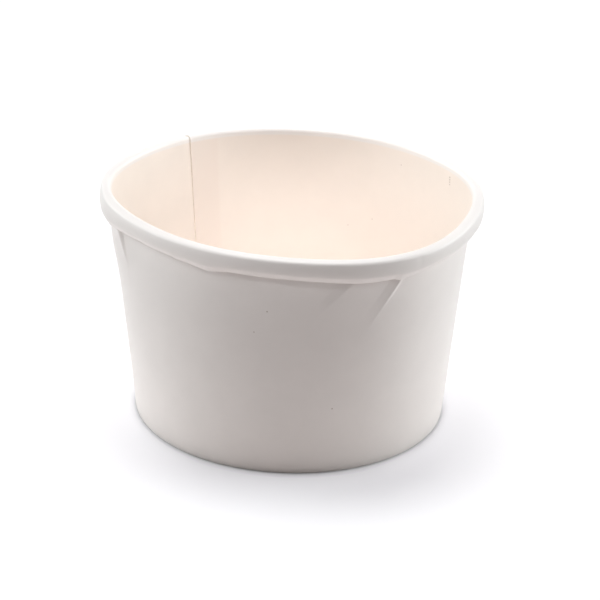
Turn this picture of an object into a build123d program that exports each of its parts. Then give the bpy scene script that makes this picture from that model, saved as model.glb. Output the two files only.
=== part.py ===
from build123d import *
import os
from math import cos, degrees, floor, radians, sin

# Paper sundae cup, squeezed a little out of round, standing empty.
# The side is one fan-shaped blank of coated board: wrapped into a cone, glued along a lap, rolled outwards
# at the rim, and folded in and up at the foot. The bottom is a board disc with a turned-down skirt that
# the folded foot grips. Sizes are in millimetres and directions in degrees from +X. +Z is up.

# Overall sizes, with the rim still round
rim_diameter = 96.0
base_diameter = 80.0
height = 60.0

# Board of both blanks, and the glue line between two plies
board = 0.4
glue_line = 0.04

# Rolled rim: its size over all, the room between its tucked edge and the wall, and the flats that
# make each half turn that is hidden inside the roll
curl_width = 2.8
curl_height = 4.8
curl_gap = 0.5
flats_in_bend = 4

# Lapped side seam: the inner ply ends at seam_toward, and the outer ply ramps up and runs over it
lap = 8.0
lap_ramp = 3.0
seam_toward = 128.0

# Foot: where the bottom hangs, how far the fold comes up inside, and the bevels that bend the two blanks
bottom_recess = 7.0
hem_height = 6.0
fold_bevel = 0.3
skirt_bevel = 0.5

# Squeeze of the rim: how far it is pushed to one side and where to, how far it stands out at two, three
# and four corners, and one direction of each
one_side = 0.56
one_side_toward = 98.0
two_corners = 1.1
two_corners_toward = 313.0
three_corners = 0.71
three_corners_toward = 301.0
four_corners = 0.39
four_corners_toward = 291.0

# The squeezed outline is a chain of this many tangent arcs, each turning by the same angle
arcs_in_turn = 36
arc_turn = 360.0 / arcs_in_turn

# Radii and heights that follow
base_radius = base_diameter / 2
curl_start = height - curl_width / 2
wall_top_radius = rim_diameter / 2 - curl_width + board
lean = (wall_top_radius - base_radius) / curl_start
foot_top = board + fold_bevel
bottom_top = bottom_recess + board
lap_end = seam_toward - degrees(lap / wall_top_radius)
ramp_end = seam_toward + degrees(lap_ramp / wall_top_radius)
corners = (
    (1, one_side, one_side_toward),
    (2, two_corners, two_corners_toward),
    (3, three_corners, three_corners_toward),
    (4, four_corners, four_corners_toward),
)


def outer_radius(z):
    """Radius of the wall's outer face at a height, before any squeeze."""
    return base_radius + lean * z


def toward(direction):
    """Unit vector in a direction."""
    return Vector(cos(radians(direction)), sin(radians(direction)))


def outline(z, squeeze):
    """Centre and radius of each arc of the wall's outer face at a height.

    Every arc spans the same directions at every height, so the wall between two heights is a chain of
    tangent cones, which is how a sheet that can't stretch bends.
    """
    reach = outer_radius(z)
    slide = 0.0
    radii = [outer_radius(z)] * arcs_in_turn
    for count, rise, first in corners:
        amount = squeeze * rise
        reach += amount * cos(radians(count * first))
        slide += amount * count * sin(radians(count * first))
        for i in range(arcs_in_turn):
            middle = (i + 0.5) * arc_turn
            radii[i] -= amount * (count**2 - 1) * cos(radians(count * (middle - first)))
    centre = toward(0) * (reach - radii[0]) + toward(90) * slide
    arcs = []
    for i in range(arcs_in_turn):
        arcs.append((centre, radii[i]))
        centre = centre + toward((i + 1) * arc_turn) * (radii[i] - radii[(i + 1) % arcs_in_turn])
    return arcs


def arc_at(arcs, direction):
    """The arc that faces a direction."""
    return arcs[floor(direction / arc_turn) % arcs_in_turn]


def point(arcs, direction, offset):
    """Point of the outline that faces a direction, moved outwards by offset."""
    centre, radius = arc_at(arcs, direction)
    return centre + toward(direction) * (radius + offset)


def run(arcs, start, end, offset):
    """Arcs of the outline from one direction to another, moved outwards by offset."""
    ends = [start]
    ends += [i * arc_turn for i in range(floor(start / arc_turn) + 1, floor(end / arc_turn) + 1)]
    ends += [end]
    edges = []
    for a, b in zip(ends, ends[1:]):
        if b > a:
            centre, radius = arc_at(arcs, (a + b) / 2)
            edges.append(CenterArc(centre, radius + offset, a, b - a))
    return edges


def outer_section(z, squeeze):
    """Everything within the wall's outer face, which steps out where the outer ply covers the inner one."""
    arcs = outline(z, squeeze)
    edges = run(arcs, ramp_end - 360, lap_end, 0)
    edges.append(Line(point(arcs, lap_end, 0), point(arcs, lap_end, board)))
    edges += run(arcs, lap_end, seam_toward, board)
    edges.append(Line(point(arcs, seam_toward, board), point(arcs, ramp_end, 0)))
    return Pos(0, 0, z) * Face(Wire(edges))


def inner_section(z, squeeze):
    """The room within the wall's inner face, which steps out past the inner ply's cut edge."""
    arcs = outline(z, squeeze)
    edges = run(arcs, ramp_end - 360, seam_toward, -board)
    edges.append(Line(point(arcs, seam_toward, -board), point(arcs, seam_toward, 0)))
    edges.append(Line(point(arcs, seam_toward, 0), point(arcs, ramp_end, -board)))
    return Pos(0, 0, z) * Face(Wire(edges))


def wrapped_wall():
    """The wall from above the fold to the curl: round as far up as the bottom holds it, then squeezed."""
    levels = ((foot_top, 0), (bottom_top, 0), (curl_start, 1))
    outside = loft([outer_section(z, squeeze) for z, squeeze in levels], ruled=True)
    inside = loft([inner_section(z, squeeze) for z, squeeze in levels], ruled=True)
    return outside - inside


def hidden_bend(centre, radius, start, end):
    """Points round a bend inside the roll, which is made of a few flats."""
    turn = (end - start) / flats_in_bend
    return [centre + toward(start + i * turn) * radius for i in range(flats_in_bend + 1)]


def rolled_rim():
    """The curl: over the top, down the outside and back up to the wall, carried round the squeezed rim."""
    top = curl_width / 2
    tuck = (curl_width - board - curl_gap) / 2
    top_centre = Vector(top - board, 0)
    tuck_centre = Vector(curl_width - board - tuck, top + tuck - curl_height)
    over = CenterArc(top_centre, top, 180, -180)
    rest = hidden_bend(tuck_centre, tuck, 0, -180)
    rest += hidden_bend(tuck_centre, tuck - board, -180, 0)
    rest += hidden_bend(top_centre, top - board, 0, 180)
    section = Face(Wire([over] + Polyline(over @ 1, *rest, over @ 0).edges()))
    path = Pos(0, 0, curl_start) * Wire(run(outline(curl_start, 1), 0, 360, 0))
    across = Plane(path @ 0, x_dir=toward(0), z_dir=-toward(90))
    return sweep(across * section, path)


def ply_line(offset, *heights):
    """Points on a face that runs parallel to the wall's outer face, offset inwards by so much."""
    return [(outer_radius(z) - offset, z) for z in heights]


def turned(points, corner, bevel):
    """A ring or disc turned about the cup's axis from its section, with one corner bevelled."""
    section = Face(Wire(Polyline(*points, close=True)))
    section = chamfer(section.vertices().sort_by_distance(corner)[0], bevel)
    return revolve(Plane.XZ * section, Axis.Z)


skirt_out = board + glue_line
skirt_in = skirt_out + board
hem_out = skirt_in + glue_line
hem_in = hem_out + board


def folded_foot():
    """The foot of the wall: down, under the skirt and up again inside it."""
    outside = ply_line(0, foot_top, 0)
    hem = ply_line(hem_in, 0, hem_height) + ply_line(hem_out, hem_height, board)
    inside = ply_line(board, board, foot_top)
    return turned(outside + hem + inside, outside[1], fold_bevel)


def skirted_bottom():
    """The bottom: a flat disc whose edge is turned down into the fold of the foot."""
    skirt_end = board + glue_line
    outside = ply_line(skirt_out, bottom_top, skirt_end)
    inside = ply_line(skirt_in, skirt_end, bottom_recess)
    points = [(0, bottom_top)] + outside + inside + [(0, bottom_recess)]
    return turned(points, outside[0], skirt_bevel)


side_wall = wrapped_wall() + rolled_rim() + folded_foot()
bottom_disc = skirted_bottom()

# The origin is on the table, under the middle of the box round the cup
middle = side_wall.bounding_box().center()
home = Pos(-middle.X, -middle.Y, 0)

os.makedirs("parts", exist_ok=True)
export_step(home * side_wall, "parts/side_wall.step")
export_step(home * bottom_disc, "parts/bottom_disc.step")
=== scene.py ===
"""Paper sundae cup: a wrapped side with a rolled rim and a folded foot, and a bottom with a skirt."""
from collections import namedtuple
from math import atan, cos, degrees, exp, pi, radians, sin, sqrt, tan

import bmesh
import bpy
import numpy as np
from bpy.props import FloatProperty, FloatVectorProperty, PointerProperty
from mathutils import Matrix, Vector


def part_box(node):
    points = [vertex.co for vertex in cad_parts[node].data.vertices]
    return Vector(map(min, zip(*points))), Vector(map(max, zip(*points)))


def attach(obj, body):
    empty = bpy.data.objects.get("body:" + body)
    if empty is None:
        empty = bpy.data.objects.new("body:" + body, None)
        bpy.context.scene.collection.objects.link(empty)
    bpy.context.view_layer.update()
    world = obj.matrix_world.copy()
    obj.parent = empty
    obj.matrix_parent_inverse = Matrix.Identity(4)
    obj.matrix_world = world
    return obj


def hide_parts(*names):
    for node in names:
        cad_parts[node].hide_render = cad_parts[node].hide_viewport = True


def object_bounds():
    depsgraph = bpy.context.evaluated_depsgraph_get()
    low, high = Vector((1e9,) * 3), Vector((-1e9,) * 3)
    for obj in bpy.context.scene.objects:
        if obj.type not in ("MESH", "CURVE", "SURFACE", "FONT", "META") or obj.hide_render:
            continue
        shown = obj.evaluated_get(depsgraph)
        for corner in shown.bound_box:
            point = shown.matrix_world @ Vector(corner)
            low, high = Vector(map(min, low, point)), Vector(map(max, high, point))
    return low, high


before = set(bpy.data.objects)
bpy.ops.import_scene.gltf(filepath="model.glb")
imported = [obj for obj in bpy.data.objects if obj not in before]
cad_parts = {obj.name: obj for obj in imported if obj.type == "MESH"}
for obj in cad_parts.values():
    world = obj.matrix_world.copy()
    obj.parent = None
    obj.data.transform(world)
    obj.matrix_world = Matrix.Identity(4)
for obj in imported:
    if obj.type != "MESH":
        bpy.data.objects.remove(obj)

bl_info = {
    "name": "Paper sundae cup",
    "version": (1, 0, 0),
    "blender": (4, 5, 0),
    "location": "View3D > Sidebar > Sundae Cup",
    "description": "Wraps, rolls and folds a paper sundae cup, fits its bottom and sets its stage",
    "category": "Add Mesh",
}

# The frame: the box round the whole cup, and where the bottom disc sits in it
MM = 0.001
CAD_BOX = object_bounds()
DISC_LOW, DISC_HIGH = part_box("bottom_disc")
AXIS = (DISC_LOW + DISC_HIGH) / 2
CUP_HEIGHT = CAD_BOX[1].z
DISC_TOP = DISC_HIGH.z

# How much sooner than evenly the squeeze of the wall builds up from the bottom to the rim
SQUEEZE_EASE = 0.5

# The run of wall below the curl that holds the dents and has close rows, and where they fade out at its top
DENTED_RUN = 17.0 * MM
DENT_FADE = 4.0 * MM

# A crease in the wall: its two ends, how proud its edge stands, how far each flank runs out, and how much
# of its right flank is a narrow steep edge. Past 1, the flank dips below the wall beside it.
Crease = namedtuple("Crease", "top_toward top_height end_toward end_height rise left right edge")
CREASES = (
    Crease(303.0, 53.0 * MM, 294.0, 40.5 * MM, 0.60 * MM, 1.6 * MM, 5.0 * MM, 1.2),
    Crease(289.4, 53.5 * MM, 277.5, 44.0 * MM, 0.15 * MM, 3.0 * MM, 5.0 * MM, 0.0),
    Crease(197.5, 53.0 * MM, 201.0, 44.5 * MM, 0.80 * MM, 4.5 * MM, 2.0 * MM, 0.0),
)

# Width of the steep edge, and the share of the crease over which it runs out
EDGE_WIDTH = 0.45 * MM
EDGE_RUN = 0.6

# How far the wall is pressed in under the lip, from one direction to the next. The creases bound the press.
Push = namedtuple("Push", "toward depth")
PRESS = (
    Push(197.4, 0.00 * MM),
    Push(199.0, 1.00 * MM),
    Push(207.0, 1.55 * MM),
    Push(216.0, 1.55 * MM),
    Push(228.0, 1.30 * MM),
    Push(240.0, 1.20 * MM),
    Push(275.0, 1.30 * MM),
    Push(285.2, 1.65 * MM),
    Push(289.4, 0.90 * MM),
    Push(300.2, 0.75 * MM),
    Push(303.0, 0.00 * MM),
)

# The press is full down to this height, and dies away over this run below it
PRESS_TOP = 54.5 * MM
PRESS_FADE = 5.0 * MM

# How far the lip of the rolled rim hangs lower, from one direction to the next
Hang = namedtuple("Hang", "toward drop")
LIP = (
    Hang(172.0, 0.00 * MM),
    Hang(184.0, 1.00 * MM),
    Hang(191.0, 1.80 * MM),
    Hang(195.5, 1.80 * MM),
    Hang(201.0, 0.90 * MM),
    Hang(206.0, 0.55 * MM),
    Hang(214.0, 0.05 * MM),
    Hang(230.0, 0.00 * MM),
    Hang(231.5, 0.25 * MM),
    Hang(236.0, 0.25 * MM),
    Hang(244.0, 0.90 * MM),
    Hang(250.5, 0.00 * MM),
    Hang(268.0, 0.00 * MM),
    Hang(278.0, 0.14 * MM),
    Hang(290.0, 0.68 * MM),
    Hang(299.4, 0.45 * MM),
    Hang(301.3, 0.92 * MM),
    Hang(307.4, 0.42 * MM),
    Hang(315.0, -0.10 * MM),
    Hang(327.0, 0.10 * MM),
    Hang(340.0, 0.40 * MM),
    Hang(349.0, 1.00 * MM),
    Hang(360.0, 0.00 * MM),
)

# A pinch in the rolled rim: its direction, how far it goes in and how far round it runs out
Pinch = namedtuple("Pinch", "toward depth reach")
PINCHES = (
    Pinch(26.5, 0.25 * MM, 1.0),
    Pinch(71.2, 0.20 * MM, 1.5),
    Pinch(184.0, 0.40 * MM, 9.0),
    Pinch(307.2, 0.10 * MM, 1.0),
)

# Directions in which the columns of the blank run straight up. Between them they lean with the creases.
STRAIGHT_COLUMNS = (150.0, 245.0, 350.0)

# Where the columns of the blank lie closer together: a direction, how far round, and by how much. The
# crowding is worked out at so many places round the blank.
Crowd = namedtuple("Crowd", "toward reach gain")
CROWDS = (
    Crowd(198.0, 10.0, 2.0),
    Crowd(244.0, 8.0, 1.5),
    Crowd(299.0, 14.0, 4.0),
)
CROWD_SAMPLES = 4000

# A speck in the paper or a spot of painted shade: its direction, height and size, on the outside and on the
# inside
Speck = namedtuple("Speck", "toward height size")
OUTER_SPECKS = (
    Speck(262.5, 44.8 * MM, 0.30 * MM),
    Speck(258.3, 38.9 * MM, 0.25 * MM),
    Speck(284.8, 18.6 * MM, 0.30 * MM),
)
INNER_SPECKS_AND_CREASE_SHADE = (
    # The first four, stacked up the wall, are painted shade: the dark line of a short crease below the pinch
    # in the rim. The rest are specks in the paper.
    Speck(26.0, 56.3 * MM, 0.38 * MM),
    Speck(25.8, 55.7 * MM, 0.38 * MM),
    Speck(25.6, 55.1 * MM, 0.36 * MM),
    Speck(25.4, 54.5 * MM, 0.32 * MM),
    Speck(51.2, 53.5 * MM, 0.28 * MM),
    Speck(61.0, 36.4 * MM, 0.24 * MM),
    Speck(70.3, 33.3 * MM, 0.22 * MM),
)

# Paper: how deep and how clearly its fibres stand, the range that its noise keeps to, the shade of its
# clouds, and how much finer and how far shaded the fibres of a cut edge are
FIBRE_DEPTH = 0.02 * MM
FIBRE_STRENGTH = 0.12
NOISE_LOW, NOISE_HIGH = 0.3, 0.7
CLOUDS_PER_METRE = 120.0
CLOUD_SHADE = 0.975
CUT_FIBRES = 4
CUT_SHADE, CUT_LIGHT = 0.8, 1.1

# The painted shade of the double ply, darker where less light comes through two plies, fades out over this
# turn, in degrees, where the inner ply ends
PLY_FADE = 0.4

# A lamp far off: the direction and elevation that it shines from, and how wide it looks, all in degrees
Lamp = namedtuple("Lamp", "name toward elevation spread strength colour")
LAMPS = (
    Lamp("overhead", 106.0, 77.5, 26.0, 2.10, (1.0, 1.0, 1.0)),
    Lamp("left panel", 165.0, 15.0, 46.0, 1.92, (0.94, 1.0, 1.0)),
    Lamp("right panel", 17.0, 7.0, 46.0, 2.7, (0.94, 1.0, 1.0)),
)

# Radius of each of the two lamps that shine into the cup
FILL_LAMP_SIZE = 20.0 * MM

# The floor's glow carries a painted contact shadow where the cup stands on it, over this run out from the
# cup's axis, and more so in the light that it throws back on the cup
CONTACT_START = 40.0 * MM
CONTACT_END = 56.0 * MM
CONTACT_SHADE = ((0.0, 0.20), (0.05, 0.66), (0.16, 0.90), (0.4, 0.98), (1.0, 1.0))
CONTACT_DEPTH = 4.5

# To the left and right of the cup the floor's glow is painted a little lighter close to it than in front of
# it
SIDE_START = 20.0 * MM
SIDE_END = 40.0 * MM
SIDE_SHADE = ((0.0, 0.45), (0.05, 0.95), (0.12, 1.17), (0.25, 1.17), (0.5, 1.10), (1.0, 1.05))

# The floor close to the cup throws more light back on it than the floor further off
NEAR_FLOOR = 50.0 * MM
FAR_FLOOR = 140.0 * MM

# Width of the camera's sensor, in the millimetres that lenses are given in, and the nearest that it sees
SENSOR_WIDTH = 36.0
CLIP_START = 10.0 * MM


# Settings

def length(name, description, millimetres):
    """A length setting, given in millimetres."""
    return FloatProperty(
        name=name, description=description, default=millimetres * MM, unit="LENGTH", precision=5
    )


def angle(name, description, turn):
    """An angle setting, given in degrees."""
    return FloatProperty(name=name, description=description, default=radians(turn), unit="ROTATION")


def share(name, description, default):
    """A plain number setting."""
    return FloatProperty(name=name, description=description, default=default)


def tint(name, description, *rgb):
    """A colour setting, in linear light."""
    return FloatVectorProperty(
        name=name, description=description, default=rgb, size=3, subtype="COLOR", min=0, max=1
    )


class CupSizes(bpy.types.PropertyGroup):
    """Sizes of the two blanks once they are wrapped, rolled and folded."""

    board: length("Board", "Thickness of the board", 0.4)
    glue: length("Glue line", "Room between two plies", 0.04)
    base_radius: length("Base radius", "Outer radius of the foot", 40.0)
    rim_radius: length("Rim radius", "Outer radius of the rolled rim while it is round", 48.0)
    curl_width: length("Curl width", "Width of the rolled rim", 2.8)
    crown_radius: length("Crown radius", "Radius of the middle of the board over the curl's top", 0.85)
    crown_rise: angle("Crown rise", "How far up the curl looks where its crown ends", 80.0)
    brow_radius: length("Brow radius", "Radius of the middle of the board from crown to shoulder", 5.5)
    brow_rise: angle("Brow rise", "How far up the curl looks where its shoulder starts", 70.0)
    shoulder_radius: length("Shoulder radius", "Radius of the middle of the board from brow to face", 0.75)
    face_rise: angle("Face rise", "How far up the curl looks where its face starts", 16.0)
    face_radius: length("Face radius", "Radius of the middle of the board down the face of the curl", 6.0)
    face_fall: angle("Face fall", "How far down the curl looks where its face ends", 8.0)
    lip_radius: length("Lip radius", "Radius of the middle of the board at the lip of the curl", 1.0)
    lip_fall: angle("Lip fall", "How far down the curl looks where its chin starts", 36.0)
    chin_radius: length("Chin radius", "Radius of the middle of the board from the lip to the tuck", 8.6)
    chin_fall: angle("Chin fall", "How far down the curl looks where it turns under", 46.0)
    tuck_radius: length("Tuck radius", "Radius of the middle of the board where the curl turns under", 0.45)
    curl_tail: length("Curl tail", "Straight end of the tucked edge", 0.8)
    hem_height: length("Hem height", "How far the fold comes up inside the foot", 6.0)
    fold_radius: length("Fold radius", "Radius of the middle of the board in the fold at the foot", 0.26)
    seam_toward: angle("Seam direction", "Where the inner ply of the lap ends", 128.0)
    lap: length("Lap", "How far the outer ply runs over the inner one", 8.0)
    ramp: length("Ramp", "Over how long a run the outer ply climbs onto the inner one", 1.2)
    disc_bend: length("Disc bend", "Radius of the middle of the board where the disc turns down", 0.6)


class CupWear(bpy.types.PropertyGroup):
    """How far the cup was pressed out of round, and where."""

    corner_rise: FloatVectorProperty(
        name="Corners",
        description="How far the rim stands out at one side and at two, three, four, five and six corners",
        default=[rise * MM for rise in (0.56, 1.10, 0.71, 0.39, 0.20, 0.28)],
        size=6,
        unit="LENGTH",
        precision=5,
    )
    corner_toward: FloatVectorProperty(
        name="Corner directions",
        description="Direction of the side, and of one of the two, three, four, five and six corners",
        default=[radians(toward) for toward in (98.0, 313.0, 301.0, 291.0, 309.0, 303.0)],
        size=6,
        unit="ROTATION",
    )
    back_drop: length("Back drop", "How much lower the rim stands at the back than at the front", 1.45)
    back_ease: share("Back ease", "How softly the drop of the rim starts", 0.15)
    bulge: length("Bulge", "How far the wall stands out below the rim on the left", 0.7)
    bulge_toward: angle("Bulge direction", "Where the wall bulges", 184.0)
    bulge_height: length("Bulge height", "How high the bulge lies", 47.0)
    bulge_width: length("Bulge width", "How far the bulge runs out round the wall", 9.0)
    bulge_reach: length("Bulge reach", "How far the bulge runs out up and down the wall", 8.0)


class CupLooks(bpy.types.PropertyGroup):
    """Colours and coats of the board."""

    outside: tint("Outside", "Printable white face of the board", 0.92, 0.88, 0.86)
    outside_rough: share("Outside roughness", "How dull the white face is", 0.48)
    inside: tint("Inside", "Coated face of the board", 0.94, 0.858, 0.796)
    inside_rough: share("Inside roughness", "How dull the coated face is", 0.45)
    # Painted shade: darker and pinker over the lap, where two plies let less light through the board
    double_ply_shade: tint("Double ply", "Coated face where another ply lies behind it", 0.91, 0.818, 0.757)
    cut_edge: tint("Cut edge", "Raw edge where the board was cut", 0.97, 0.89, 0.82)
    cut_rough: share("Cut roughness", "How dull the raw edge is", 0.9)
    # Colour of the specks, and of the painted crease shade on the inside
    speck: tint("Speck", "Stray fibre in the board", 0.46, 0.38, 0.33)
    fibre_size: length("Fibre size", "Length of the fibres that show in the surface", 0.9)


class CupStage(bpy.types.PropertyGroup):
    """Camera, lamps and floor."""

    lens: FloatProperty(
        name="Lens", description="Focal length of the camera", default=132.0, unit="CAMERA"
    )
    distance: length("Distance", "From the camera to the point that it looks at", 565.6)
    elevation: angle("Elevation", "How far the camera looks down", 24.49)
    roll: angle("Roll", "How far the camera is turned about its own line of sight", 1.90)
    aim_aside: length("Aim aside", "How far to the right of the axis the camera looks", 2.09)
    aim_height: length("Aim height", "How high above the floor the camera looks", 28.75)
    floor_size: length("Floor size", "Half the width of the floor", 4000.0)
    floor: tint("Floor", "Colour of the floor", 0.57, 0.57, 0.57)
    glow: tint("Floor glow", "Light that comes up through the floor", 0.49, 0.480, 0.505)
    near_glow: tint("Near glow", "Light that comes up through the floor onto the cup", 0.44, 0.414, 0.403)
    bounce: tint("Near bounce", "Colour that the floor near the cup throws back on it", 0.72, 0.667, 0.654)
    far_bounce: tint("Far bounce", "Colour that the floor further off throws back", 0.53, 0.488, 0.480)
    fill_power: FloatProperty(
        name="Fill power",
        description="Power of each lamp that shines into the cup",
        default=4.8,
        unit="POWER",
    )
    fill_cone: angle("Fill cone", "Opening of the lamps that shine into the cup", 9.5)
    fill_aside: angle("Fill aside", "How far to each side of the camera those lamps hang", 30.0)
    fill_elevation: angle("Fill elevation", "How far up those lamps hang", 38.0)
    fill_distance: length("Fill distance", "How far those lamps hang from the wall that they light", 500.0)
    fill_reach: length("Fill reach", "How far past the axis those lamps point", 32.0)
    fill_height: length("Fill height", "How high above the floor those lamps point", 40.0)
    ambient: tint("Room", "Light from the room all round", 1.0, 0.93, 0.90)
    ambient_strength: share("Room strength", "Level of the light from the room", 0.05)


class SundaeCup(bpy.types.PropertyGroup):
    """Everything that a user would change."""

    sizes: PointerProperty(type=CupSizes)
    wear: PointerProperty(type=CupWear)
    looks: PointerProperty(type=CupLooks)
    stage: PointerProperty(type=CupStage)


# Section of the board

Station = namedtuple("Station", "reach height heading")
Stretch = namedtuple("Stretch", "name length turn steps")


def straight(name, run, steps):
    """A stretch of board that doesn't bend."""
    return Stretch(name, run, 0.0, steps)


def arc(name, radius, turn, steps):
    """A stretch of board that bends by so much, with so large a radius."""
    return Stretch(name, radius * abs(turn), turn, steps)


def walk(stretches, heading):
    """Stations along the middle of the board, and the number of the last one of each stretch."""
    place = Vector((0.0, 0.0))
    stations = [Station(0.0, 0.0, heading)]
    ends = {}
    for stretch in stretches:
        turn = stretch.turn / stretch.steps
        half = turn / 2
        chord = stretch.length / stretch.steps * (sin(half) / half if half else 1.0)
        for _ in range(stretch.steps):
            place = place + chord * Vector((cos(heading + half), sin(heading + half)))
            heading += turn
            stations.append(Station(place.x, place.y, heading))
        ends[stretch.name] = len(stations) - 1
    return stations, ends


def wall_flare(sizes):
    """How far the wall leans outwards."""
    inside_curl = sizes.rim_radius - sizes.curl_width + sizes.board
    return atan((inside_curl - sizes.base_radius) / (CUP_HEIGHT - sizes.curl_width / 2))


def side_section(sizes):
    """Section of the side: from the hem's cut edge down, round the fold, up the wall and round the curl."""
    flare = wall_flare(sizes)
    up = pi / 2 - flare
    fold = sizes.fold_radius
    crown = sizes.crown_radius
    plies = 2 * (sizes.board + sizes.glue)
    fold_top = sizes.board / 2 + fold * (1 - cos(up))
    wall_top = CUP_HEIGHT - sizes.board / 2 - crown * (1 - sin(flare))
    wall_run = (wall_top - fold_top) / cos(flare)
    stretches = (
        straight("hem", (sizes.hem_height - fold) / cos(flare), steps=4),
        arc("fold in", fold, pi - up, steps=5),
        straight("foot", plies - 2 * fold * cos(flare), steps=2),
        arc("fold up", fold, up, steps=5),
        straight("lower wall", wall_run - DENTED_RUN, steps=20),
        straight("upper wall", DENTED_RUN, steps=36),
        arc("crown", crown, -(up + pi / 2 - sizes.crown_rise), steps=7),
        arc("brow", sizes.brow_radius, sizes.brow_rise - sizes.crown_rise, steps=2),
        arc("shoulder", sizes.shoulder_radius, sizes.face_rise - sizes.brow_rise, steps=7),
        arc("face", sizes.face_radius, -(sizes.face_rise + sizes.face_fall), steps=7),
        arc("lip", sizes.lip_radius, sizes.face_fall - sizes.lip_fall, steps=5),
        arc("chin", sizes.chin_radius, sizes.lip_fall - sizes.chin_fall, steps=3),
        arc("tuck", sizes.tuck_radius, -(pi - sizes.chin_fall - flare), steps=7),
        straight("tail", sizes.curl_tail, steps=2),
    )
    stations, ends = walk(stretches, up - pi)
    foot = stations[ends["foot"]]
    top = stations[ends["upper wall"]]
    height_shift = sizes.board / 2 - foot.height
    reach_shift = sizes.base_radius + tan(flare) * (top.height + height_shift)
    reach_shift -= sizes.board / 2 / cos(flare) + top.reach
    stations = [Station(s.reach + reach_shift, s.height + height_shift, s.heading) for s in stations]
    return stations, ends


# Shape of the pressed cup

def ramp(value, start, end):
    """0 before start and 1 past end, straight in between."""
    return min(max((value - start) / (end - start), 0.0), 1.0)


def turn_between(direction, other):
    """Signed turn from one direction to another, in degrees between -180 and 180."""
    return (direction - other + 180) % 360 - 180


def squeeze(wear, direction, hold):
    """How far the wall stands out in a direction, where so much of the rim's squeeze has built up."""
    total = 0.0
    for i, (rise, toward) in enumerate(zip(wear.corner_rise, wear.corner_toward)):
        total += rise * cos((i + 1) * (radians(direction) - toward))
    return total * hold * (1 + SQUEEZE_EASE * (1 - hold))


def tent(crease, away, along):
    """1 on a crease, dying away down its two flanks. The steep edge runs out first along the crease."""
    edge = crease.edge * (1 - ramp(along, 0.0, EDGE_RUN))
    if away < 0:
        return exp(away / crease.left)
    return edge * exp(-away / EDGE_WIDTH) + (1 - edge) * exp(-away / crease.right)


def dents(wear, direction, height, radius, column):
    """How far the bulge and the creases lift the wall, less how far it is pressed in."""
    aside = radians(turn_between(direction, degrees(wear.bulge_toward))) * radius / wear.bulge_width
    above = (height - wear.bulge_height) / wear.bulge_reach
    lift = wear.bulge * exp(-aside**2 - above**2)
    for crease in CREASES:
        along = (crease.top_height - height) / (crease.top_height - crease.end_height)
        if along >= 1:
            continue
        toward = crease.top_toward + along * (crease.end_toward - crease.top_toward)
        away = radians(turn_between(direction, toward)) * radius
        strength = 1 - max(along, 0.0)
        lift += crease.rise * strength * tent(crease, away, along)
    press = np.interp(column % 360, [push.toward for push in PRESS], [push.depth for push in PRESS])
    return lift - press * exp(-max(PRESS_TOP - height, 0.0) / PRESS_FADE)


def rim_drop(wear, direction):
    """How much lower the rim stands in a direction."""
    behind = sin(radians(direction))
    return wear.back_drop * (behind + sqrt(behind**2 + wear.back_ease**2)) / 2


def lip_drop(direction):
    """How far the lip of the curl hangs lower in a direction."""
    return np.interp(direction % 360, [hang.toward for hang in LIP], [hang.drop for hang in LIP])


def pinched(direction):
    """Depth of the pinches in the rolled rim in a direction."""
    total = 0.0
    for pinch in PINCHES:
        away = turn_between(direction, pinch.toward) / pinch.reach
        total += pinch.depth * exp(-(away**2))
    return total


def column_lean(column, height):
    """How far a column moves aside at a height: some run along the creases and some straight up."""
    places = {toward: 0.0 for toward in STRAIGHT_COLUMNS}
    for crease in CREASES:
        along = ramp(height, crease.top_height, crease.end_height)
        places[crease.top_toward] = along * (crease.end_toward - crease.top_toward)
    towards = sorted(places)
    return np.interp(column % 360, towards, [places[toward] for toward in towards])


def column_turns(columns, seam, sweep):
    """Turn of each column from the seam: they crowd at the creases, and one lies on each crease."""
    turns = np.linspace(0.0, sweep, CROWD_SAMPLES)
    density = np.ones_like(turns)
    for crowd in CROWDS:
        away = turn_between(seam - turns, crowd.toward)
        density += crowd.gain * np.exp(-((away / crowd.reach) ** 2))
    filled = np.cumsum(density) - density[0]
    turns = np.interp(np.linspace(0.0, filled[-1], columns + 1), filled, turns)
    for toward in [crease.top_toward for crease in CREASES] + [hang.toward for hang in LIP]:
        turn = (seam - toward) % 360
        turns[np.abs(turns - turn).argmin()] = turn
    return turns


def turn_over(sizes, run):
    """Turn that a run along the top of the wall covers, in degrees."""
    return degrees(run / (sizes.rim_radius - sizes.curl_width))


def pressed_wall(wear, station, column, wall_top):
    """Direction, reach and height of a place on the wall, once pressed. The round foot holds no dents."""
    height = station.height
    direction = column + column_lean(column, height)
    hold = ramp(height, DISC_TOP, wall_top)
    fade = ramp(height, DISC_TOP, 2 * DISC_TOP) * (1 - ramp(height, wall_top - DENT_FADE, wall_top))
    dent = dents(wear, direction, height, station.reach, column) * fade
    reach = station.reach + squeeze(wear, direction, hold) + dent
    return direction, reach, height - rim_drop(wear, direction) * hold


def pressed_curl(wear, station, direction, outer, hang):
    """Reach and height of a place on the curl, so far to its outside and so far down it, once pressed."""
    reach = station.reach + squeeze(wear, direction, 1.0) - pinched(direction) * outer * (1 - hang)
    height = station.height - rim_drop(wear, direction) - lip_drop(direction) * outer * hang
    return reach, height


# Finishes

def add(tree, kind, inputs=None, **settings):
    """Adds a node to a tree with its settings, and with a value or a link on each named input."""
    made = tree.nodes.new(kind)
    for name, value in settings.items():
        setattr(made, name, value)
    for key, value in (inputs or {}).items():
        if isinstance(value, bpy.types.NodeSocket):
            tree.links.new(value, made.inputs[key])
        else:
            made.inputs[key].default_value = value
    return made


def maths(tree, operation, *values):
    """Result of a sum on one or two values."""
    return add(tree, "ShaderNodeMath", dict(enumerate(values)), operation=operation).outputs["Value"]


def mapped(tree, value, low, high, to_low=0.0, to_high=1.0, **settings):
    """A value moved from one range to another and held inside it."""
    limits = {"From Min": low, "From Max": high, "To Min": to_low, "To Max": to_high}
    return add(tree, "ShaderNodeMapRange", {"Value": value, **limits}, **settings).outputs["Result"]


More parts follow.
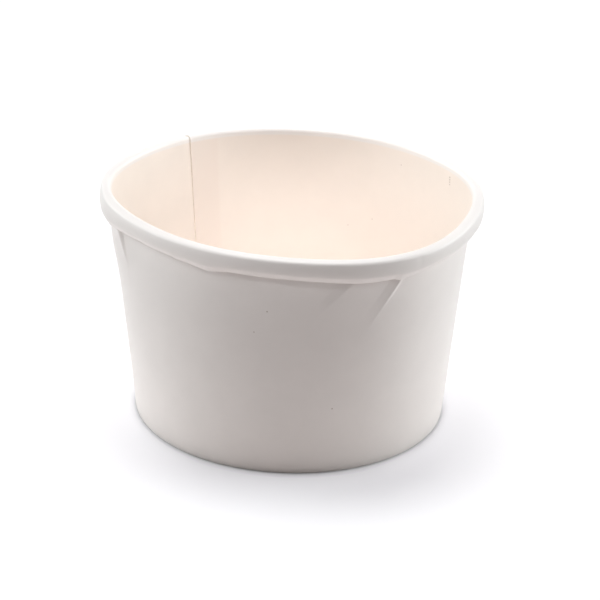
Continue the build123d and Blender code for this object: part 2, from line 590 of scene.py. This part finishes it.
def blend(tree, factor, first, second, kind="RGBA", **settings):
    """A colour or value between two others."""
    inputs = {"Factor": factor, "A": first, "B": second}
    return add(tree, "ShaderNodeMix", inputs, data_type=kind, **settings).outputs["Result"]


def opaque(colour):
    """A colour as a socket takes it."""
    return (*colour, 1.0)


def new_group(name, inputs, outputs):
    """An empty shader node group with the named sockets."""
    tree = bpy.data.node_groups.new(name, "ShaderNodeTree")
    for in_out, sockets in (("INPUT", inputs), ("OUTPUT", outputs)):
        for socket, kind in sockets.items():
            tree.interface.new_socket(socket, in_out=in_out, socket_type=kind)
    return tree


def new_material(name):
    """An empty material."""
    material = bpy.data.materials.new(name)
    material.use_nodes = True
    material.node_tree.nodes.clear()
    return material


def paper_group():
    """Shared effect: fibres and clouds of a paper surface, as a height and a mask."""
    name = "paper surface"
    if name in bpy.data.node_groups:
        return bpy.data.node_groups[name]
    tree = new_group(
        name,
        {"Place": "NodeSocketVector", "Fibres per Metre": "NodeSocketFloat"},
        {"Height": "NodeSocketFloat", "Clouds": "NodeSocketFloat"},
    )
    given = add(tree, "NodeGroupInput").outputs
    fibres = add(
        tree, "ShaderNodeTexNoise",
        {"Vector": given["Place"], "Scale": given["Fibres per Metre"], "Detail": 3.0, "Distortion": 1.2},
    )
    clouds = add(
        tree, "ShaderNodeTexNoise",
        {"Vector": given["Place"], "Scale": CLOUDS_PER_METRE, "Detail": 4.0, "Roughness": 0.6},
    )
    add(tree, "NodeGroupOutput", {"Height": fibres.outputs["Fac"], "Clouds": clouds.outputs["Fac"]})
    return tree


def speck_group():
    """Shared effect: one speck or spot of painted shade, as a mask round a place, over the mask of those
    before it.
    """
    name = "speck"
    if name in bpy.data.node_groups:
        return bpy.data.node_groups[name]
    tree = new_group(
        name,
        {
            "Place": "NodeSocketVector",
            "Centre": "NodeSocketVector",
            "Size": "NodeSocketFloat",
            "Before": "NodeSocketFloat",
        },
        {"Mask": "NodeSocketFloat"},
    )
    given = add(tree, "NodeGroupInput").outputs
    away = add(tree, "ShaderNodeVectorMath", {0: given["Place"], 1: given["Centre"]}, operation="DISTANCE")
    mask = mapped(
        tree, away.outputs["Value"], 0.0, given["Size"], 1.0, 0.0, interpolation_type="SMOOTHSTEP"
    )
    add(tree, "NodeGroupOutput", {"Mask": maths(tree, "MAXIMUM", mask, given["Before"])})
    return tree


def on_wall(sizes, speck, inset):
    """Place of a speck or spot of painted shade on the pressed wall, so far in from its outer face."""
    wear = bpy.context.scene.sundae_cup.wear
    wall_top = CUP_HEIGHT - sizes.curl_width / 2
    radius = sizes.base_radius + tan(wall_flare(sizes)) * speck.height - inset
    radius += dents(wear, speck.toward, speck.height, radius, speck.toward)
    radius += squeeze(wear, speck.toward, ramp(speck.height, DISC_TOP, wall_top))
    toward = radians(speck.toward)
    return AXIS.x + radius * cos(toward), AXIS.y + radius * sin(toward), speck.height


def board_finish(name, looks, sizes, colour, rough, specks_and_crease_shade, inset, masks=()):
    """Paper face of the board: fibres, faint clouds, a few specks and spots of painted shade, and tints laid
    on by the piece's masks, such as painted shade and a painted whiter tint.
    """
    if name in bpy.data.materials:
        return bpy.data.materials[name]
    material = new_material(name)
    tree = material.node_tree
    place = add(tree, "ShaderNodeTexCoord").outputs["Object"]
    paper = add(
        tree, "ShaderNodeGroup",
        {"Place": place, "Fibres per Metre": 1 / looks.fibre_size},
        node_tree=paper_group(),
    )
    shade = mapped(tree, paper.outputs["Clouds"], NOISE_LOW, NOISE_HIGH, CLOUD_SHADE, 1.0)
    base = blend(tree, 1.0, opaque(colour), shade, blend_type="MULTIPLY")
    for mask_name, laid_on in masks:
        mask = add(tree, "ShaderNodeAttribute", attribute_name=mask_name).outputs["Fac"]
        base = blend(tree, mask, base, opaque(laid_on))
    # Specks, and on the inside the painted shade of a crease
    spots = 0.0
    for speck in specks_and_crease_shade:
        spot = add(
            tree, "ShaderNodeGroup",
            {"Place": place, "Centre": on_wall(sizes, speck, inset), "Size": speck.size, "Before": spots},
            node_tree=speck_group(),
        )
        spots = spot.outputs["Mask"]
    base = blend(tree, spots, base, opaque(looks.speck))
    bump = add(
        tree, "ShaderNodeBump",
        {"Strength": FIBRE_STRENGTH, "Distance": FIBRE_DEPTH, "Height": paper.outputs["Height"]},
    )
    shader = add(
        tree, "ShaderNodeBsdfPrincipled",
        {"Base Color": base, "Roughness": rough, "Specular IOR Level": 0.5, "Normal": bump.outputs["Normal"]},
    )
    add(tree, "ShaderNodeOutputMaterial", {"Surface": shader.outputs["BSDF"]})
    return material


def outside_finish(looks, sizes):
    """White face of the board."""
    return board_finish(
        "white board", looks, sizes, looks.outside, looks.outside_rough, OUTER_SPECKS, inset=0.0
    )


def inside_finish(looks, sizes):
    """Coated face of the board, with a painted whiter tint on the curl and painted shade over the lap."""
    # On the curl the coated face takes the outside's whiter tint, a painted tint standing in for the strong
    # light on the top of the roll
    masks = (("ply", looks.double_ply_shade), ("curl", looks.outside))
    return board_finish(
        "coated board", looks, sizes, looks.inside, looks.inside_rough, INNER_SPECKS_AND_CREASE_SHADE, sizes.board, masks
    )


def cut_finish(looks):
    """Raw edge of the board."""
    name = "cut board"
    if name in bpy.data.materials:
        return bpy.data.materials[name]
    material = new_material(name)
    tree = material.node_tree
    place = add(tree, "ShaderNodeTexCoord").outputs["Object"]
    paper = add(
        tree, "ShaderNodeGroup",
        {"Place": place, "Fibres per Metre": CUT_FIBRES / looks.fibre_size},
        node_tree=paper_group(),
    )
    shade = mapped(tree, paper.outputs["Height"], NOISE_LOW, NOISE_HIGH, CUT_SHADE, CUT_LIGHT)
    base = blend(tree, 1.0, opaque(looks.cut_edge), shade, blend_type="MULTIPLY")
    shader = add(
        tree, "ShaderNodeBsdfPrincipled",
        {"Base Color": base, "Roughness": looks.cut_rough, "Specular IOR Level": 0.1},
    )
    add(tree, "ShaderNodeOutputMaterial", {"Surface": shader.outputs["BSDF"]})
    return material


# Pieces

def thicken(piece, board):
    """Gives the board its thickness to both sides, with its own finish on each face and on the cut edge."""
    solid = piece.modifiers.new("board", "SOLIDIFY")
    solid.thickness = board
    solid.offset = 0.0
    solid.use_even_offset = True
    solid.use_quality_normals = True
    solid.material_offset = 1
    solid.material_offset_rim = 2


def finish_piece(bm, cup, name, node):
    """Turns a bmesh into a smooth piece of board that stands for a node of the frame."""
    mesh = bpy.data.meshes.new(name)
    for edge in bm.edges:
        edge.smooth = not edge.is_boundary
    for face in bm.faces:
        face.smooth = True
    bm.to_mesh(mesh)
    bm.free()
    mesh.materials.append(inside_finish(cup.looks, cup.sizes))
    mesh.materials.append(outside_finish(cup.looks, cup.sizes))
    mesh.materials.append(cut_finish(cup.looks))
    piece = bpy.data.objects.new(name, mesh)
    bpy.context.scene.collection.objects.link(piece)
    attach(piece, "root")
    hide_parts(node)
    thicken(piece, cup.sizes.board)


class CUP_OT_wrap_side(bpy.types.Operator):
    """Wrap the side blank round, roll its rim, fold its foot and press it as the cup was pressed"""

    bl_idname = "cup.wrap_side"
    bl_label = "Wrap Side"

    columns = 430

    def execute(self, context):
        cup = context.scene.sundae_cup
        sizes, wear = cup.sizes, cup.wear
        stations, ends = side_section(sizes)
        rows = len(stations) - 1
        wall_end = ends["upper wall"]
        wall_top = stations[wall_end].height
        crown = max(station.height for station in stations)
        lowest = min(station.height for station in stations[ends["lip"]:])
        seam = degrees(sizes.seam_toward)
        lap = turn_over(sizes, sizes.lap)
        climb = 360 - turn_over(sizes, sizes.ramp)
        turns = column_turns(self.columns, seam, 360 + lap)
        bm = bmesh.new()
        # Masks for the painted whiter tint on the curl and the painted shade over the lap
        curl = bm.verts.layers.float.new("curl")
        ply = bm.verts.layers.float.new("ply")
        bmesh.ops.create_grid(bm, x_segments=self.columns, y_segments=rows, size=0.5)
        for vert in bm.verts:
            row = round((vert.co.y + 0.5) * rows)
            turned = turns[round((vert.co.x + 0.5) * self.columns)]
            station = stations[row]
            direction = seam - turned
            if row > wall_end:
                outer = ramp(row, ends["crown"], ends["shoulder"])
                hang = ramp(crown - station.height, 0.0, crown - lowest)
                reach, height = pressed_curl(wear, station, direction, outer, hang)
            else:
                direction, reach, height = pressed_wall(wear, station, direction, wall_top)
            step = (sizes.board + sizes.glue) * ramp(turned, climb, 360)
            reach += step * sin(station.heading)
            height = max(height - step * cos(station.heading), sizes.board / 2)
            toward = radians(direction)
            vert.co = (AXIS.x + reach * cos(toward), AXIS.y + reach * sin(toward), height)
            # The painted whiter tint of the curl, standing in for the strong light on the top of the roll,
            # starts just below its first row
            vert[curl] = ramp(row, wall_end - 2, wall_end - 1)
            # Painted shade over the lap, where two plies let less light through
            vert[ply] = 1 - ramp(turned, lap - PLY_FADE, lap)
        finish_piece(bm, cup, "cup_side", "side_wall")
        return {"FINISHED"}


class CUP_OT_press_bottom(bpy.types.Operator):
    """Press the bottom disc and turn its skirt down into the fold of the foot"""

    bl_idname = "cup.press_bottom"
    bl_label = "Press Bottom"

    steps = 180
    merge_run = 0.001 * MM

    def execute(self, context):
        cup = context.scene.sundae_cup
        sizes = cup.sizes
        flare = wall_flare(sizes)
        inset = sizes.board + sizes.glue + sizes.board / 2
        level = DISC_TOP - sizes.board / 2
        bend = sizes.disc_bend
        skirt_reach = sizes.base_radius + tan(flare) * (level - bend) - inset
        skirt_run = (level - bend - sizes.board - sizes.glue) / cos(flare)
        stretches = (
            straight("flat", skirt_reach - bend * cos(flare), steps=12),
            arc("bend", bend, -(pi / 2 + flare), steps=8),
            straight("skirt", skirt_run, steps=5),
        )
        stations, _ = walk(stretches, 0.0)
        bm = bmesh.new()
        verts = [bm.verts.new((AXIS.x + s.reach, AXIS.y, level + s.height)) for s in stations]
        edges = [bm.edges.new(pair) for pair in zip(verts, verts[1:])]
        bmesh.ops.spin(
            bm,
            geom=verts + edges,
            cent=(AXIS.x, AXIS.y, 0.0),
            axis=(0, 0, 1),
            angle=2 * pi,
            steps=self.steps,
            use_merge=True,
        )
        bmesh.ops.remove_doubles(bm, verts=bm.verts, dist=self.merge_run)
        bmesh.ops.recalc_face_normals(bm, faces=bm.faces)
        finish_piece(bm, cup, "cup_bottom", "bottom_disc")
        return {"FINISHED"}


# Stage

def seen_rays(tree):
    """1 for rays from the camera, reflected or straight through, and 0 for bounced light."""
    path = add(tree, "ShaderNodeLightPath").outputs
    reflected = maths(tree, "MAXIMUM", path["Is Camera Ray"], path["Is Glossy Ray"])
    return maths(tree, "MAXIMUM", reflected, path["Is Transmission Ray"])


def level_along(tree, run, stops):
    """Level along a run, through the given stops."""
    shade = add(tree, "ShaderNodeValToRGB", {"Fac": run})
    elements = shade.color_ramp.elements
    elements.remove(elements[1])
    for position, level in stops:
        stop = elements[0] if position == 0.0 else elements.new(position)
        stop.color = (level, level, level, 1.0)
    return shade.outputs["Color"]


def floor_finish(stage):
    """Pale floor that glows to white away from the cup, and throws a warmer light back on it."""
    material = new_material("pale floor")
    tree = material.node_tree
    seen = seen_rays(tree)
    place = add(tree, "ShaderNodeTexCoord").outputs["Object"]
    middle = (AXIS.x, AXIS.y, 0.0)
    away = add(tree, "ShaderNodeVectorMath", {0: place, 1: middle}, operation="DISTANCE").outputs["Value"]
    near = mapped(tree, away, NEAR_FLOOR, FAR_FLOOR, 1.0, 0.0)
    bounce = blend(tree, near, opaque(stage.far_bounce), opaque(stage.bounce))
    lit = add(tree, "ShaderNodeBsdfDiffuse", {"Color": blend(tree, seen, bounce, opaque(stage.floor))})
    thrown = blend(tree, near, opaque((0.0, 0.0, 0.0)), opaque(stage.near_glow))
    tone = blend(tree, seen, thrown, opaque(stage.glow))
    # Painted contact shadow in the floor's glow, painted lighter beside the cup
    ring = mapped(tree, away, CONTACT_START, CONTACT_END)
    contact = level_along(tree, ring, CONTACT_SHADE)
    across = add(tree, "ShaderNodeSeparateXYZ", {"Vector": place}).outputs["X"]
    sideways = mapped(tree, maths(tree, "ABSOLUTE", across), SIDE_START, SIDE_END)
    shown = blend(tree, sideways, contact, level_along(tree, ring, SIDE_SHADE), kind="FLOAT")
    level = blend(tree, seen, maths(tree, "POWER", contact, CONTACT_DEPTH), shown, kind="FLOAT")
    glow = add(tree, "ShaderNodeEmission", {"Color": tone, "Strength": level})
    shader = add(tree, "ShaderNodeAddShader", {0: lit.outputs["BSDF"], 1: glow.outputs["Emission"]})
    add(tree, "ShaderNodeOutputMaterial", {"Surface": shader.outputs["Shader"]})
    return material


class CUP_OT_set_stage(bpy.types.Operator):
    """Lay the floor, hang the lamps and set up the camera"""

    bl_idname = "cup.set_stage"
    bl_label = "Set Stage"

    def execute(self, context):
        stage = context.scene.sundae_cup.stage
        self.lay_floor(context, stage)
        self.hang_lamps(context)
        self.light_inside(context, stage)
        self.light_room(context, stage)
        self.aim_camera(context, stage)
        context.scene.view_settings.view_transform = "Standard"
        return {"FINISHED"}

    def lay_floor(self, context, stage):
        """A wide pale floor that takes the cup's shadow."""
        bm = bmesh.new()
        bmesh.ops.create_grid(bm, x_segments=1, y_segments=1, size=stage.floor_size)
        mesh = bpy.data.meshes.new("floor")
        bm.to_mesh(mesh)
        bm.free()
        mesh.materials.append(floor_finish(stage))
        floor = bpy.data.objects.new("floor", mesh)
        context.scene.collection.objects.link(floor)

    def hang_lamps(self, context):
        """Broad even lamps, each named by the direction that it shines from."""
        for lamp in LAMPS:
            light = bpy.data.lights.new(lamp.name, "SUN")
            light.energy = lamp.strength
            light.angle = radians(lamp.spread)
            light.color = lamp.colour
            holder = bpy.data.objects.new(lamp.name, light)
            toward, up = radians(lamp.toward), radians(lamp.elevation)
            source = Vector((cos(toward) * cos(up), sin(toward) * cos(up), sin(up)))
            holder.rotation_euler = source.to_track_quat("Z", "Y").to_euler()
            holder.location = source
            context.scene.collection.objects.link(holder)

    def light_inside(self, context, stage):
        """Two narrow lamps from the front that cross in the cup's mouth and miss its outside."""
        for name, aside in (("left fill", -stage.fill_aside), ("right fill", stage.fill_aside)):
            light = bpy.data.lights.new(name, "SPOT")
            light.energy = stage.fill_power
            light.spot_size = stage.fill_cone
            light.spot_blend = 1.0
            light.shadow_soft_size = FILL_LAMP_SIZE
            holder = bpy.data.objects.new(name, light)
            out = Vector((sin(aside), -cos(aside), 0.0))
            source = out * cos(stage.fill_elevation) + Vector((0.0, 0.0, sin(stage.fill_elevation)))
            target = Vector((AXIS.x, AXIS.y, stage.fill_height)) - stage.fill_reach * out
            holder.rotation_euler = source.to_track_quat("Z", "Y").to_euler()
            holder.location = target + stage.fill_distance * source
            context.scene.collection.objects.link(holder)

    def light_room(self, context, stage):
        """Dim light from the room, with white behind the cup."""
        world = bpy.data.worlds.new("room")
        world.use_nodes = True
        tree = world.node_tree
        tree.nodes.clear()
        room = add(
            tree, "ShaderNodeBackground",
            {"Color": opaque(stage.ambient), "Strength": stage.ambient_strength},
        )
        white = add(tree, "ShaderNodeBackground", {"Color": opaque((1.0, 1.0, 1.0)), "Strength": 1.0})
        mixed = add(
            tree, "ShaderNodeMixShader",
            {0: seen_rays(tree), 1: room.outputs["Background"], 2: white.outputs["Background"]},
        )
        add(tree, "ShaderNodeOutputWorld", {"Surface": mixed.outputs["Shader"]})
        context.scene.world = world

    def aim_camera(self, context, stage):
        """The photograph's view."""
        data = bpy.data.cameras.new("view")
        data.lens = stage.lens
        data.sensor_width = SENSOR_WIDTH
        data.clip_start = CLIP_START
        camera = bpy.data.objects.new("view", data)
        target = Vector((AXIS.x + stage.aim_aside, AXIS.y, stage.aim_height))
        tilt = Matrix.Rotation(pi / 2 - stage.elevation, 4, "X")
        sight = tilt @ Vector((0.0, 0.0, -1.0))
        place = Matrix.Translation(target - stage.distance * sight)
        camera.matrix_world = place @ tilt @ Matrix.Rotation(stage.roll, 4, "Z")
        context.scene.collection.objects.link(camera)
        context.scene.camera = camera


class CUP_PT_sundae_cup(bpy.types.Panel):
    """Sundae cup panel in the sidebar"""

    bl_idname = "CUP_PT_sundae_cup"
    bl_label = "Sundae Cup"
    bl_space_type = "VIEW_3D"
    bl_region_type = "UI"
    bl_category = "Sundae Cup"

    def draw(self, context):
        cup = context.scene.sundae_cup
        for operator in OPERATORS:
            self.layout.operator(operator.bl_idname)
        for group in (cup.sizes, cup.wear, cup.looks, cup.stage):
            box = self.layout.box()
            for name in group.__annotations__:
                box.prop(group, name)


OPERATORS = (CUP_OT_wrap_side, CUP_OT_press_bottom, CUP_OT_set_stage)
CLASSES = (CupSizes, CupWear, CupLooks, CupStage, SundaeCup, *OPERATORS, CUP_PT_sundae_cup)


def register():
    """Registers the classes and the cup's settings."""
    for kind in CLASSES:
        bpy.utils.register_class(kind)
    bpy.types.Scene.sundae_cup = PointerProperty(type=SundaeCup)


def unregister():
    """Removes the settings and the classes."""
    del bpy.types.Scene.sundae_cup
    for kind in reversed(CLASSES):
        bpy.utils.unregister_class(kind)


def main():
    """Makes the cup and its stage."""
    register()
    bpy.ops.cup.wrap_side()
    bpy.ops.cup.press_bottom()
    bpy.ops.cup.set_stage()


if __name__ == "__main__":
    main()
